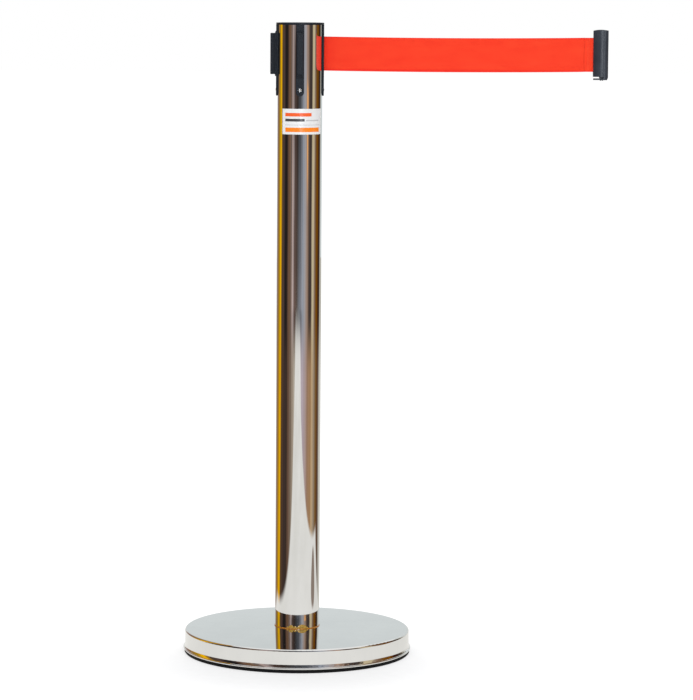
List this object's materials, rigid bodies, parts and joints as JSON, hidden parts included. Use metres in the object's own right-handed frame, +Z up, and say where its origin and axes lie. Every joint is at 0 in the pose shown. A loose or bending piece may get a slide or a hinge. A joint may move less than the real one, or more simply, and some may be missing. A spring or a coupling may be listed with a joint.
{
  "type": "retractable belt stanchion",
  "caption": "Polished steel queue post on a round weighted base, with a spring-wound belt cassette, receiver rails and a belt that ends in a latching clip.",
  "frame": {"origin": "centre of the base's underside, on the floor", "axes": "+Z up along the post, +X the way the belt leaves the head, -Y the side with the label and the front receiver rail"},
  "size_m": [0.5982, 0.3266, 0.9],
  "materials": {
    "polished_steel": "mirror polish",
    "plain_steel": "machined",
    "zinc_steel": "zinc plated",
    "spring_steel": "blued",
    "screw_chrome": "bright",
    "cast_weight": "rough cast",
    "base_rubber": "satin",
    "gasket_amber": "gloss",
    "label_film": "gloss film",
    "head_plastic": "satin moulded",
    "clip_plastic": "satin moulded",
    "cassette_plastic": "fine grain",
    "acetal": "natural",
    "belt_fabric": "woven polyester"
  },
  "bodies": {
    "post": {"base_pan": "base_rubber", "base_weight": "cast_weight", "base_cover": "polished_steel", "draw_bolt": "zinc_steel", "spring_washer": "zinc_steel", "flat_washer": "zinc_steel", "foot_gasket": "gasket_amber", "foot_plug": "plain_steel", "post_tube": "polished_steel", "label": "label_film", "outlet_guide": "head_plastic", "receiver_front": "head_plastic", "receiver_left": "head_plastic", "receiver_rear": "head_plastic", "head_screws": "screw_chrome", "top_cap": "head_plastic", "cassette_housing": "cassette_plastic", "cassette_lid": "cassette_plastic", "axle": "plain_steel", "axle_screw": "zinc_steel", "axle_clip": "spring_steel", "power_spring": "spring_steel", "belt_lead": "belt_fabric", "guide_pins": "plain_steel", "belt_free": "belt_fabric"},
    "drum": {"drum_core": "cassette_plastic", "drum_top_flange": "cassette_plastic", "drum_flange_screws": "zinc_steel", "spring_cup_lid": "cassette_plastic", "lower_bush": "acetal", "upper_bush": "acetal", "belt_coil": "belt_fabric"},
    "roller_front": {"guide_roller_front": "acetal"},
    "roller_rear": {"guide_roller_rear": "acetal"},
    "clip": {"clip_body": "clip_plastic", "clip_end_cap": "clip_plastic", "belt_end_pin": "plain_steel", "belt_hem": "belt_fabric", "latch_spring": "spring_steel"},
    "latch": {"clip_latch": "clip_plastic"}
  },
  "joints": [
    {"name": "belt_pull", "type": "slide", "parent": "post", "child": "clip", "axis": [1, 0, 0], "range_m": [-0.373, 1.62], "stiffness_N_per_m": 1.5, "springref_m": -3.7, "deforming": ["belt_free"]},
    {"name": "drum_spin", "type": "hinge", "parent": "post", "child": "drum", "pos_m": [0, 0, 0.8568], "axis": [0, 0, 1], "continuous": true},
    {"name": "roller_front_spin", "type": "hinge", "parent": "post", "child": "roller_front", "pos_m": [0.026, -0.0019, 0.8568], "axis": [0, 0, 1], "continuous": true},
    {"name": "roller_rear_spin", "type": "hinge", "parent": "post", "child": "roller_rear", "pos_m": [0.026, 0.0019, 0.8568], "axis": [0, 0, 1], "continuous": true},
    {"name": "clip_latch_slide", "type": "slide", "parent": "clip", "child": "latch", "axis": [1, 0, 0], "range_m": [-0.003, 0], "stiffness_N_per_m": 300, "springref_m": 0.003, "deforming": ["latch_spring"]}
  ],
  "couplings": [
    {"joint": "drum_spin", "follows": "belt_pull", "rad_per_m": -54.6},
    {"joint": "roller_front_spin", "follows": "belt_pull", "rad_per_m": -606},
    {"joint": "roller_rear_spin", "follows": "belt_pull", "rad_per_m": 606}
  ]
}
